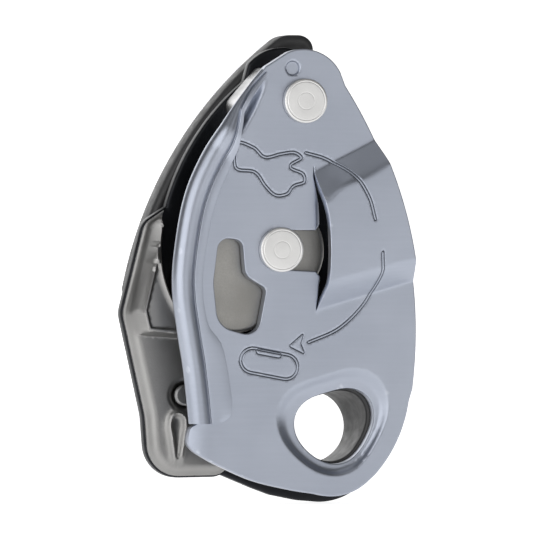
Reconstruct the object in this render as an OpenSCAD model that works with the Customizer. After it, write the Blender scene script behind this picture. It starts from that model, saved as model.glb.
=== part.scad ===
// Belay device with assisted braking: two side plates on an upper pivot, a grooved cam on a lower axle,
// a stainless friction plate and a release handle on the back.
// Everything is drawn face on: x to the right, y up, z towards the front. face_on() then stands it upright,
// with the front facing -Y. The origin is the centre of the carabiner eye, half way across the rope channel.

/* [Rope channel] */
// Clear width between the two side plates
channel_w = 13.2; // [12.8:0.2:14]

/* [Side plates] */
// Thickness of the moving front plate
plate_t = 2.8; // [2.6:0.1:3]
// Thickness of the fixed back plate
back_t = 3; // [2.8:0.1:3.2]
// Thickness of the sheet in the raised arch
arch_t = 2.3; // [2:0.1:2.5]
// Radius of the rolled hem along the left edge
hem_r = 2.35; // [2.2:0.05:2.4]
// Depth of the dish around the carabiner eye
dish_depth = 1.6; // [1.2:0.1:1.8]

/* [Rivets] */
// Radius of the shanks of the pivot rivet and the cam axle
shank_r = 3.95; // [3.9:0.05:4]
// Radius of the two large heads
head_r = 4.8; // [4.6:0.1:5]
// Thickness of the two large heads
head_t = 1.7; // [1.5:0.1:1.8]
// Radial clearance of everything that turns on a shank
run_gap = 0.08; // [0.05:0.01:0.1]

/* [Cam] */
// Radius of both ends of the cam
cam_r = 10.9; // [10.5:0.1:10.9]
// Depth of the rope groove
groove_depth = 3.4; // [2.8:0.1:3.4]
// How far the cam turns before it meets its stop
cam_travel = 60; // [50:1:60]

/* [Handle] */
// Thickness of the moulded grip
grip_t = 9.4; // [8.6:0.1:9.8]
// Thickness of the steel lever inside the grip
lever_t = 2; // [1.8:0.1:2.2]
// How far the handle turns
handle_travel = 110; // [90:1:110]

/* [Hidden] */
$fn = 48;

// Centres, seen face on, from the middle of the carabiner eye
pivot = [-6.6, 69.6];
axle = [-11.9, 37.9];
lobe = [-21.2, 31];
pivot_to_axle = norm(pivot - axle);

// Heights of the layers, from the front to the back
inner_front = channel_w / 2;
front_face = inner_front + plate_t;
inner_back = -channel_w / 2;
back_face = inner_back - back_t;
head_gap = 0.1;
head_back = front_face + head_gap;
arch_under = head_back + head_t + 0.3;
arch_top = arch_under + arch_t;
cam_front = inner_front - 0.4;
cam_back = inner_back + 0.4;
flange_t = 2.6;
washer_t = 0.6;
lever_front = back_face - washer_t - head_gap;
lever_back = lever_front - lever_t;
axle_washer_back = lever_back - head_gap - 0.8;
tail_t = 1.7;
grip_front = back_face - 1.4;
grip_back = grip_front - grip_t;

// Pins and slots around the cam axle: distance from the axle, radius and angle at rest
slot_half = shank_r + 0.2;
pin_r = 1.4;
pin_slot = pin_r + 0.3;
stop_at = 14;
stop_angle = 188;
drive_at = 8.9;
drive_angle = 250;
slot_spare = 3;
cover_r = 12.4;
pocket_r = 7.4;
bush_r = 5;
// Everything fixed beside the cam keeps outside this circle around the axle
cam_keep_out = 23;

// Carabiner eye: a triangle of three arcs
eye_centres = [[-2.4, 0.2], [0.2, -1.7], [3.2, 2]];
eye_r = 6.2;
collar_wall = 1.4;
dish_shift = [-1, 1];

// Rivets of the friction plate, the brake shoe and the handle
guide_rivets = [[-29.3, 6.8], [-21.5, -3.2]];
shoe_rivets = [[-15.9, 66.6], [-16.2, 60.2]];
lever_rivets = [[-17.4, 53.4], [-19.3, 60.2]];
lever_tip = [-19.5, 60];
lever_tip_r = 4.2;
small_shank_r = 1.5;
sheet_t = 1.4;
floor_top = inner_back + 2.4;
block_top = inner_back + 8.6;
panel_depth = 0.5;
panel_edge = 1.6;

// Raised arch, seen face on: where its sides leave the plate and where they meet its top
shear_x = -3.3;
fold_upper = [[-8, 52.7], [25, 69.4]];
fold_lower = [[-8, 23.8], [25, 33.4]];
ridge_upper = [[-8, 44.8], [25, 64.9]];
ridge_lower = [[-8, 29], [25, 37.6]];

function arc(c, r, a0, a1, n) =
    [for (i = [0:n]) c + r * [cos(a0 + (a1 - a0) * i / n), sin(a0 + (a1 - a0) * i / n)]];
function unit(v) = v / norm(v);
function heading(v) = atan2(v[1], v[0]);
function turn(a) = a > 180 ? a - 360 : a < -180 ? a + 360 : a;
// Points of an arc of radius r that rounds the corner b between a and c
function corner(a, b, c, r, n = 5) =
    let (u = unit(a - b), v = unit(c - b), half = acos(u * v) / 2,
        o = b + unit(u + v) * r / sin(half), reach = r / tan(half),
        a0 = heading(b + u * reach - o), da = turn(heading(b + v * reach - o) - a0))
    arc(o, r, a0, a0 + da, n);
function rounded(pts, radii) =
    let (n = len(pts))
    [for (i = [0:n - 1]) each corner(pts[(i + n - 1) % n], pts[i], pts[(i + 1) % n], radii[i])];
// Outline at the distance r around a convex loop of centres
function band(cs, r, n = 8) =
    let (k = len(cs))
    [for (i = [0:k - 1])
        let (a0 = heading(cs[i] - cs[(i + k - 1) % k]) - 90,
            da = heading(cs[(i + 1) % k] - cs[i]) - 90 - a0)
        each arc(cs[i], r, a0, a0 + (da < 0 ? da + 360 : da), n)];

// Rolled hem of the moving plate: its left edge is two arcs that meet at its widest point
hem_upper = [19.8, 32.2];
hem_upper_r = 55.5;
hem_lower = [84.3, 32.2];
hem_lower_r = 120;
hem_proud = 0.25;
hem_z = inner_front + hem_r + 0.3;

right_edge = [-76.6, 20.5];
right_edge_r = 95;
front_outline = concat(
    arc([-12.2, 9.8], 29.3, -43, -8.5, 5),
    arc(right_edge, right_edge_r, -7.5, 33.5, 13),
    arc([-6.6, 71.5], 9.2, 28, 140, 10),
    arc(hem_upper, hem_upper_r, 129.5, 180, 16),
    arc(hem_lower, hem_lower_r, 181, 195.5, 6),
    arc([-27, -3], 5.2, 172, 246, 5),
    [[-17.7, -11.3], [-9.5, -13.1]],
    arc([-0.4, -2.7], 12, 256, 314, 6));
back_outline = concat(
    arc(right_edge, right_edge_r - 0.5, -10, 33, 12),
    arc([-6.6, 71.5], 10, 28, 140, 10),
    arc(hem_upper, hem_upper_r - 0.8, 130, 167.5, 12),
    [[-30, 20], [-29.5, -8.4], [-20.4, -10.4], [-13.7, -13.2], [-9.4, -14.8], [-3.5, -16]],
    arc([1.6, -2.4], 14, 268, 340, 6));
guide_outline = rounded(
    [[-27.5, 50.2], [-37.6, 43.6], [-42.5, 24.4], [-37.6, 2.5], [-36.6, -10.6], [-19.5, -10.4],
        [-15.5, 5], [-24, 15], [-30, 24]],
    [2, 4, 5, 12, 7, 4, 5, 6, 6]);
block_outline = rounded(
    [[-31, 47.3], [-36.6, 43.2], [-40.9, 25], [-39.6, 19.7], [-28, 18.8], [-28, 44]],
    [2, 3, 2.5, 2, 1, 1]);
flange_outline = concat(
    arc(hem_upper, hem_upper_r - 3, 142, 180, 10),
    arc(hem_lower, hem_lower_r - 3, 181, 194.5, 5),
    arc(hem_lower, hem_lower_r - 9.6, 194.1, 188.4, 3),
    arc(hem_lower, hem_lower_r - 7.2, 185.8, 181, 2),
    arc(hem_upper, hem_upper_r - 7.1, 180, 144, 10));
window_outline = rounded(
    [[-25.4, 40.6], [-26.6, 31], [-25.6, 21.6], [-16.9, 19.2], [-14.9, 29.6], [-19.6, 32.4], [-20.2, 39.9]],
    [2.4, 8, 4.5, 3.2, 1.6, 3, 2]);
shoe_outline = rounded(
    [[-12.8, 77.2], [-19.7, 69.4], [-19, 65.6], [-19.6, 57.2], [-14, 55.6], [-12.6, 62], [-12.6, 72],
        [-10.6, 76.2]],
    [1, 2.4, 8, 2, 2, 4, 4, 0.8]);
// Grip: one long arc on the outside, with a short tab at its top
grip_centre = [48.5, 12.5];
grip_r = 89.8;
tab_tip = [1.7, 84.4];
tab_bend = [-5.4, 84.4];
grip_inside = [[-38.8, 18.5], [-25, 22], [-10, 25.4], [1.5, 31], [0.5, 48], [-3.5, 60], [1.7, 76.5]];
grip_bends = [5, 10, 14, 9, 14, 12, 3];
grip_arc = arc(grip_centre, grip_r, 129, 169, 12);
grip_outline = concat(
    corner(grip_inside[6], tab_tip, tab_bend, 3.2),
    corner(tab_tip, tab_bend, grip_arc[0], 5),
    grip_arc,
    [for (i = [0:6]) each corner(
        i == 0 ? grip_arc[12] : grip_inside[i - 1], grip_inside[i],
        i == 6 ? tab_tip : grip_inside[i + 1], grip_bends[i])]);

module face_on() rotate([90, 0, 0]) children();
module layer(z0, z1) translate([0, 0, z0]) linear_extrude(z1 - z0) children();
module disc(c, r, z0, z1) translate([c[0], c[1], z0]) cylinder(r = r, h = z1 - z0);
module ring(c, r_in, r_out, z0, z1)
    difference() {
        disc(c, r_out, z0, z1);
        disc(c, r_in, z0 - 1, z1 + 1);
    }
// Slot along a circle around c, with round ends
module arc_slot(c, at, half, a0, a1, z0, z1) {
    steps = ceil((a1 - a0) / 6);
    first = c + at * [cos(a0), sin(a0)];
    last = c + at * [cos(a1), sin(a1)];
    layer(z0, z1) polygon(concat(
        arc(c, at + half, a0, a1, steps),
        arc(last, half, a1 + 20, a1 + 160, 7),
        arc(c, at - half, a1, a0, steps),
        arc(first, half, a0 + 200, a0 + 340, 7)));
}
// Tube along a circle around c
module bead(c, at, r, a0, a1, z)
    translate([c[0], c[1], z]) rotate([0, 0, a0]) rotate_extrude(angle = a1 - a0) translate([at, 0]) circle(r);
// Low ridge with round ends between two points of the face
module ridge(p, q, r, z) {
    layer(z - 0.2, z + 0.5) polygon(band([p, q], r));
    layer(z + 0.5, z + 0.8) polygon(band([p, q], r - 0.3));
}
// Rivet head or tail: a disc with a chamfered rim, its flat side at z0
module head(c, r, z0, z1) {
    rim = sign(z1 - z0) * 0.5;
    disc(c, r, min(z0, z1 - rim), max(z0, z1 - rim));
    translate([c[0], c[1], z1 - rim]) mirror([0, 0, rim < 0 ? 1 : 0]) cylinder(r1 = r, r2 = r - 0.5, h = 0.5);
}
module at_pin(at, angle) translate(axle + at * [cos(angle), sin(angle)]) children();
// Coil spring around c, from z0 upwards
module coil(c, at, wire_r, z0, pitch, turns) {
    sides = 8;
    steps = 16;
    rings = round(turns * steps);
    points = [for (i = [0:rings], k = [0:sides - 1])
        let (a = 360 * i / steps, b = 360 * k / sides, r = at + wire_r * cos(b))
        [c[0] + r * cos(a), c[1] + r * sin(a), z0 + wire_r + pitch * i / steps + wire_r * sin(b)]];
    walls = [for (i = [0:rings - 1], k = [0:sides - 1])
        let (p = i * sides, q = (k + 1) % sides)
        [p + k, p + sides + k, p + sides + q, p + q]];
    polyhedron(points, concat(walls, [[for (k = [0:sides - 1]) k],
        [for (k = [sides - 1:-1:0]) rings * sides + k]]));
}
module eye_shape(grow) polygon(band(eye_centres, eye_r + grow));
module cam_shape(grow) polygon(band([axle, lobe], cam_r + grow, 20));
module block_shape(grow)
    difference() {
        offset(delta = grow) polygon(block_outline);
        translate(axle) circle(cam_keep_out - grow);
    }

// Solid between the fold lines at height z0 and the ridge lines at height z1
module arch_body(z0, z1, inset) {
    slope = [0, inset];
    hull() {
        layer(z0, z0 + 0.01)
            polygon([fold_lower[0] + slope, fold_lower[1] + slope, fold_upper[1] - slope, fold_upper[0] - slope]);
        layer(z1 - 0.01, z1)
            polygon([ridge_lower[0] + slope, ridge_lower[1] + slope, ridge_upper[1] - slope, ridge_upper[0] - slope]);
    }
}
module dish_body(z0, z1, wide, narrow)
    hull() {
        layer(z0, z0 + 0.01) eye_shape(narrow);
        layer(z1 - 0.01, z1) translate(dish_shift) eye_shape(wide);
    }
module right_of_shear() translate([shear_x, 0, 0]) cube([40, 90, 30]);

module moving_side_plate() color("lightsteelblue") face_on()
    difference() {
        union() {
            layer(inner_front, front_face) polygon(front_outline);
            intersection() {
                arch_body(front_face - 0.02, arch_top, 0);
                layer(0, 20) polygon(front_outline);
                right_of_shear();
            }
            mirror([0, 0, 1]) translate([0, 0, -2 * inner_front - 0.01])
                dish_body(inner_front - 0.02, inner_front + dish_depth, 2.6, 2.2);
            bead(hem_upper, hem_upper_r - hem_r + hem_proud, hem_r, 131.5, 180, hem_z);
            bead(hem_lower, hem_lower_r - hem_r + hem_proud, hem_r - 0.06, 179, 195.1, hem_z);
            layer(front_face - 0.2, front_face + 0.6) polygon(flange_outline);
        }
        intersection() {
            arch_body(inner_front - 0.5, arch_under, 1.2);
            translate([0, 0, inner_front - 1]) right_of_shear();
        }
        dish_body(front_face - dish_depth, front_face + 0.1, 3.8, 0.8);
        layer(0, 20) eye_shape(0);
        layer(0, 20) polygon(window_outline);
        disc(pivot, shank_r + run_gap, 0, 20);
        arc_slot(pivot, pivot_to_axle, slot_half, heading(axle - pivot), heading(axle - pivot) + 17, 0, front_face + 0.5);
        translate([-9.1, 76.6, front_face + 1.2]) sphere(2);
    }

module fixed_side_plate() color("dimgray") face_on()
    difference() {
        layer(back_face, inner_back) union() {
            polygon(back_outline);
            offset(delta = 0.4) polygon(guide_outline);
        }
        layer(back_face - 1, 0) eye_shape(1.6);
        for (c = [pivot, axle]) disc(c, shank_r, back_face - 1, 0);
        for (c = concat(guide_rivets, shoe_rivets)) disc(c, small_shank_r, back_face - 1, 0);
        translate([0, 0, back_face - 1]) linear_extrude(20) at_pin(stop_at, stop_angle) circle(pin_r);
        arc_slot(axle, drive_at, pin_slot, drive_angle - cam_travel - slot_spare, drive_angle + slot_spare,
            back_face - 1, 0);
    }

module eye_collar() color("black") face_on()
    difference() {
        layer(back_face - 0.5, inner_front - dish_depth - 0.3) eye_shape(1.6);
        layer(back_face - 2, 20) eye_shape(-collar_wall);
    }

module friction_plate() color("silver") face_on()
    difference() {
        union() {
            layer(inner_back, floor_top) difference() {
                polygon(guide_outline);
                translate(axle) circle(cam_keep_out);
            }
            layer(floor_top - 0.5, block_top) block_shape(0);
            ridge([-32.6, 1.4], [-31.9, -6.4], 0.8, floor_top);
            ridge([-29.1, 0.6], [-30, -6.2], 0.8, floor_top);
        }
        layer(inner_back - 1, floor_top - sheet_t) difference() {
            offset(delta = -sheet_t) polygon(guide_outline);
            translate(axle) circle(cam_keep_out + sheet_t);
        }
        layer(inner_back, block_top - sheet_t) block_shape(-sheet_t);
        layer(block_top - panel_depth, block_top + 1) block_shape(-panel_edge);
        for (c = guide_rivets) disc(c, small_shank_r, inner_back - 1, floor_top + 1);
    }

module friction_plate_rivets() color("gray") face_on()
    for (c = guide_rivets) {
        disc(c, small_shank_r, back_face, floor_top);
        head(c, 2.3, floor_top, floor_top + 0.8);
    }

module brake_shoe() color("gainsboro") face_on()
    difference() {
        layer(inner_back, inner_front - 0.4) difference() {
            polygon(shoe_outline);
            translate(pivot) circle(6.1);
        }
        for (c = shoe_rivets) disc(c, small_shank_r, inner_back - 1, 0);
    }

module brake_shoe_rivets() color("gray") face_on()
    for (c = shoe_rivets) disc(c, small_shank_r, back_face, 0);

module upper_pivot_rivet() color("gainsboro") face_on() {
    head(pivot, head_r, head_back, head_back + head_t);
    disc(pivot, shank_r, back_face - 0.5, head_back);
    head(pivot, 5, back_face - 0.5, back_face - 1.1);
}

module pivot_bush() color("silver") face_on()
    ring(pivot, shank_r, 5.6, inner_back, inner_front - 0.5);

module plate_wave_washer() color("gray") face_on()
    ring(pivot, shank_r, 5.8, inner_front - 0.5, inner_front - 0.1);

module pivot_tail_washer() color("silver") face_on()
    ring(pivot, shank_r, 6.2, back_face - 0.5, back_face);

module cam_axle() color("gainsboro") face_on() {
    head(axle, head_r, head_back, head_back + head_t);
    disc(axle, shank_r, axle_washer_back, head_back);
    head(axle, 5, axle_washer_back, axle_washer_back - tail_t);
}

module cam_thrust_washer() color("goldenrod") face_on()
    ring(axle, shank_r, 5.5, inner_back, inner_back + 0.3);

module cam_stop_pin() color("gray") face_on()
    translate([0, 0, back_face]) linear_extrude(cam_back + flange_t - 0.3 - back_face)
        at_pin(stop_at, stop_angle) circle(pin_r);

module cam_spring() color("darkgray") face_on()
    coil(axle, 6.1, 0.4, cam_back + 0.1, 0.95, 1.5);

module handle_thrust_washer() color("goldenrod") face_on()
    ring(axle, shank_r, 6.8, back_face - washer_t, back_face);

module axle_tail_washer() color("silver") face_on()
    ring(axle, shank_r, 6, axle_washer_back, axle_washer_back + 0.8);

module handle_spring() color("darkgray") face_on()
    coil(axle, 6.6, 0.45, axle_washer_back - 4.5, 1, 3);

module cam() color("darkgray") face_on()
    difference() {
        union() {
            layer(cam_back, cam_back + flange_t - 1) cam_shape(0);
            hull() {
                layer(cam_back + flange_t - 1.01, cam_back + flange_t - 1) cam_shape(0);
                layer(-0.01, 0) cam_shape(-groove_depth);
            }
            hull() {
                layer(cam_front - flange_t + 1, cam_front - flange_t + 1.01) cam_shape(0);
                layer(-0.01, 0) cam_shape(-groove_depth);
            }
            layer(cam_front - flange_t + 1, cam_front) cam_shape(0);
        }
        disc(axle, bush_r, cam_back - 1, cam_front + 1);
        ring(axle, 4, 6.9, cam_back - 1, cam_back + flange_t);
        arc_slot(axle, stop_at, pin_slot, stop_angle - 1, stop_angle + cam_travel + 1, cam_back - 1, cam_back + flange_t);
        translate([0, 0, cam_back - 1]) linear_extrude(5) at_pin(drive_at, drive_angle) circle(pin_r);
    }

module cam_bush() color("goldenrod") face_on()
    ring(axle, shank_r + run_gap, bush_r, cam_back, cam_front);

module cam_drive_pin() color("gray") face_on()
    translate([0, 0, lever_back + 0.3]) linear_extrude(cam_back + 4 - lever_back - 0.3)
        at_pin(drive_at, drive_angle) circle(pin_r);

module lever_shape()
    hull() {
        translate(axle) circle(cover_r);
        translate(lever_tip) circle(lever_tip_r);
    }

module handle_lever() color("silver") face_on()
    difference() {
        layer(lever_back, lever_front) lever_shape();
        disc(axle, bush_r, lever_back - 1, lever_front + 1);
        arc_slot(axle, drive_at, pin_slot, drive_angle - cam_travel - handle_travel - slot_spare,
            drive_angle + slot_spare, lever_back - 1, lever_front + 1);
        for (c = lever_rivets) disc(c, small_shank_r, lever_back - 1, lever_front + 1);
    }

module handle_bush() color("goldenrod") face_on()
    ring(axle, shank_r + run_gap, bush_r, lever_back, lever_front);

module grip_shape(grow)
    offset(delta = grow) union() {
        polygon(grip_outline);
        translate(axle) circle(13);
    }

module handle_grip() color("dimgray") face_on()
    difference() {
        union() {
            layer(grip_back + 3, grip_front) grip_shape(0);
            layer(grip_back + 1.2, grip_back + 3) grip_shape(-1.2);
            layer(grip_back, grip_back + 1.2) grip_shape(-3);
        }
        layer(lever_back, grip_front + 1) lever_shape();
        disc(axle, pocket_r, grip_back - 1, grip_front);
        for (c = lever_rivets) disc(c, small_shank_r, grip_back - 1, grip_front + 1);
    }

module handle_rivets() color("gainsboro") face_on()
    for (c = lever_rivets) {
        disc(c, small_shank_r, grip_back, lever_front);
        head(c, 2.8, grip_back, grip_back - 0.8);
    }

module hub_cap() color("black") face_on()
    disc(axle, pocket_r, grip_back + 0.2, grip_back + 1.5);

fixed_side_plate();
eye_collar();
friction_plate();
friction_plate_rivets();
brake_shoe();
brake_shoe_rivets();
upper_pivot_rivet();
pivot_bush();
plate_wave_washer();
pivot_tail_washer();
cam_axle();
cam_thrust_washer();
cam_stop_pin();
cam_spring();
handle_thrust_washer();
axle_tail_washer();
handle_spring();
moving_side_plate();
cam();
cam_bush();
cam_drive_pin();
handle_lever();
handle_bush();
handle_grip();
handle_rivets();
hub_cap();
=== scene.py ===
"""Belay device with assisted braking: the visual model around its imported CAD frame.

Shapes are drawn face on in millimetres: u to the right, v up and h towards the front.
mesh_piece() stands them upright in the row frame, in metres, with the front facing -Y.
"""
import math

import bpy
import numpy as np
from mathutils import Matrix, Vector
from mathutils.geometry import delaunay_2d_cdt


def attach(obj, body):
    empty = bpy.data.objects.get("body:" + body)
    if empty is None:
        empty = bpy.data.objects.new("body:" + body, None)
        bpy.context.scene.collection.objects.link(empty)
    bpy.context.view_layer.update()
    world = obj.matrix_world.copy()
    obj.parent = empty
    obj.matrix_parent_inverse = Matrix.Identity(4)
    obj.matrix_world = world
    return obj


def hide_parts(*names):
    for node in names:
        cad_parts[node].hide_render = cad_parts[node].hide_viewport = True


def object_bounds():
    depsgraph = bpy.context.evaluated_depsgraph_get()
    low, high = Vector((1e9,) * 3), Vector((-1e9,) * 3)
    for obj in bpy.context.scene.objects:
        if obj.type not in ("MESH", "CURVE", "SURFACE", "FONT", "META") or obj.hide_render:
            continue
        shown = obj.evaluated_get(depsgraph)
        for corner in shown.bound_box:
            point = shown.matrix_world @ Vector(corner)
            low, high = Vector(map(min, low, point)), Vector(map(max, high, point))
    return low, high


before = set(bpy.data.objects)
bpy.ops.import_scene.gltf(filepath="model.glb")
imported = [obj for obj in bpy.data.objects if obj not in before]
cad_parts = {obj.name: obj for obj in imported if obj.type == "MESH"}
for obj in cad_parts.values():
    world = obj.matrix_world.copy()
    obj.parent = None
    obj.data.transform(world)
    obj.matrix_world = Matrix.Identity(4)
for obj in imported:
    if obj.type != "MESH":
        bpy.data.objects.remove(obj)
cad_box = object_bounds()

MM = 0.001

# Centres, seen face on
PIVOT = (-6.6, 69.6)
AXLE = (-11.9, 37.9)
LOBE = (-21.2, 31.0)

# Heights of the layers
FACE = 9.4
PLATE_T = 2.8
ARCH_RISE = 4.25
ARCH_T = 2.3
INNER_BACK = -6.6
BACK_T = 3.0
BACK_FACE = INNER_BACK - BACK_T
FLOOR = -4.2
BLOCK = 2.0
LEVER_BACK = -12.3
GRIP_FRONT = -11.0
GRIP_BACK = -20.4
CAM_HALF = 6.2
DISH_DEPTH = 1.5
EDGE_R = 0.2
GROOVE_HALF = 0.17


# ---------------------------------------------------------------- plane curves

def arc(c, r, a0, a1, n=32):
    a = np.radians(np.linspace(a0, a1, n + 1))
    return np.column_stack((c[0] + r * np.cos(a), c[1] + r * np.sin(a)))


def circle(c, r, n=96):
    return arc(c, r, 0, 360 * (1 - 1 / n), n - 1)


def heading(v):
    return math.degrees(math.atan2(v[1], v[0]))


def rounded(points, radii, n=10):
    """Closed outline with each corner rounded to its radius."""
    pts = [np.array(p, float) for p in points]
    out = []
    for i, b in enumerate(pts):
        to_a, to_c = pts[i - 1] - b, pts[(i + 1) % len(pts)] - b
        u, v = to_a / np.linalg.norm(to_a), to_c / np.linalg.norm(to_c)
        half = math.acos(float(np.clip(u @ v, -1, 1))) / 2
        o = b + (u + v) / np.linalg.norm(u + v) * radii[i] / math.sin(half)
        reach = radii[i] / math.tan(half)
        a0, a1 = heading(b + u * reach - o), heading(b + v * reach - o)
        turn = (a1 - a0 + 180) % 360 - 180
        out.append(arc(o, radii[i], a0, a0 + turn, n))
    return np.vstack(out)


def band(centres, r, n=24):
    """Outline at the distance r around a convex loop of centres."""
    cs = [np.array(c, float) for c in centres]
    out = []
    for i, c in enumerate(cs):
        a0 = heading(c - cs[i - 1]) - 90
        turn = (heading(cs[(i + 1) % len(cs)] - c) - 90 - a0) % 360
        out.append(arc(c, r, a0, a0 + turn, n))
    return np.vstack(out)


def resample(path, step, closed=True):
    """The same path with points about a step apart."""
    path = np.array(path, float)
    if closed:
        path = np.vstack((path, path[:1]))
    length = np.concatenate(([0], np.cumsum(np.linalg.norm(np.diff(path, axis=0), axis=1))))
    n = max(int(round(length[-1] / step)), 3)
    at = np.linspace(0, length[-1], n + 1)
    out = np.column_stack([np.interp(at, length, path[:, k]) for k in range(path.shape[1])])
    return out[:-1] if closed else out


def smooth_path(points, closed=False, n=12):
    """Catmull-Rom curve through the points."""
    p = np.array(points, float)
    if closed:
        p = np.vstack((p[-1:], p, p[:2]))
    else:
        p = np.vstack((2 * p[0] - p[1], p, 2 * p[-1] - p[-2]))
    t = np.linspace(0, 1, n, endpoint=False)[:, None]
    out = []
    for a, b, c, d in zip(p, p[1:], p[2:], p[3:]):
        out.append(0.5 * (2 * b + (c - a) * t + (2 * a - 5 * b + 4 * c - d) * t ** 2
                          + (3 * b - a - 3 * c + d) * t ** 3))
    if not closed:
        out.append(p[-2:-1])
    return np.vstack(out)


def side_normals(path, closed=True):
    """Unit normals to the left of a path."""
    if closed:
        along = np.roll(path, -1, axis=0) - np.roll(path, 1, axis=0)
    else:
        along = np.gradient(path, axis=0)
    along /= np.linalg.norm(along, axis=1)[:, None]
    return np.column_stack((-along[:, 1], along[:, 0]))


def offset_path(path, amount):
    """A closed path moved to its left."""
    return path + side_normals(path) * amount


def stroke(path, width):
    """Closed outline of a round-ended stroke along an open path."""
    path = resample(path, 0.5, closed=False)
    n = side_normals(path, False) * width / 2
    end, start = heading(path[-1] - path[-2]), heading(path[0] - path[1])
    return np.vstack((path - n, arc(path[-1], width / 2, end - 70, end + 70, 4), (path + n)[::-1],
                      arc(path[0], width / 2, start - 70, start + 70, 4)))


def inside(points, loop):
    """Which points lie inside a closed loop."""
    a, b = loop, np.roll(loop, -1, axis=0)
    out = np.zeros(len(points), bool)
    for k in range(0, len(points), 4096):
        x, y = points[k:k + 4096, :1], points[k:k + 4096, 1:]
        crossed = (a[:, 1] > y) != (b[:, 1] > y)
        rise = np.where(b[:, 1] == a[:, 1], 1, b[:, 1] - a[:, 1])
        at = a[:, 0] + (y - a[:, 1]) * (b[:, 0] - a[:, 0]) / rise
        out[k:k + 4096] = (crossed & (x < at)).sum(1) % 2 == 1
    return out


def gap(points, starts, ends):
    """Distance from each point to the nearest segment."""
    out = np.empty(len(points))
    d = ends - starts
    squared = np.maximum((d * d).sum(1), 1e-12)
    for k in range(0, len(points), 2048):
        px = points[k:k + 2048, :1] - starts[:, 0]
        py = points[k:k + 2048, 1:] - starts[:, 1]
        t = np.clip((px * d[:, 0] + py * d[:, 1]) / squared, 0, 1)
        out[k:k + 2048] = np.sqrt(((px - t * d[:, 0]) ** 2 + (py - t * d[:, 1]) ** 2).min(1))
    return out


def path_gap(points, path, closed=True):
    ends = np.roll(path, -1, axis=0) if closed else path[1:]
    return gap(points, path if closed else path[:-1], ends)


def depth_in(points, loop):
    """Signed distance to a closed loop, positive inside."""
    return np.where(inside(points, loop), 1, -1) * path_gap(points, loop)


def ease(t):
    t = np.clip(t, 0, 1)
    return t * t * (3 - 2 * t)


def soft_min(a, b, k):
    low = np.minimum(a, b)
    return low - k * np.log(np.exp(-(a - low) / k) + np.exp(-(b - low) / k))


def edge_drop(d, r):
    """How far a rounded edge of radius r falls at the distance d from the rim."""
    return r - np.sqrt(np.maximum(r * r - np.square(np.clip(r - d, 0, r)), 0))


# ---------------------------------------------------------------- meshes

def mesh_piece(name, points, faces, body, slot, nodes, finish=None, sharp=50, marks=None):
    """A piece from face-on points, riding on its body and standing for its CAD nodes.

    finish is its material, where that isn't the slot's own. marks says how deeply each point of its front
    is engraved.
    """
    p = np.asarray(points, float)
    mesh = bpy.data.meshes.new(name)
    mesh.from_pydata((np.column_stack((p[:, 0], -p[:, 2], p[:, 1])) * MM).tolist(), [], faces)
    mesh.validate()
    mesh.shade_smooth()
    mesh.set_sharp_from_angle(angle=math.radians(sharp))
    obj = bpy.data.objects.new(name, mesh)
    bpy.context.scene.collection.objects.link(obj)
    obj.data.materials.append(MATERIALS[finish or slot])
    if marks is not None:
        level = mesh.attributes.new("engraved", "FLOAT", "POINT")
        level.data.foreach_set("value", np.append(marks, np.zeros(len(p) - len(marks))))
    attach(obj, body)
    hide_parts(*nodes)


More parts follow.
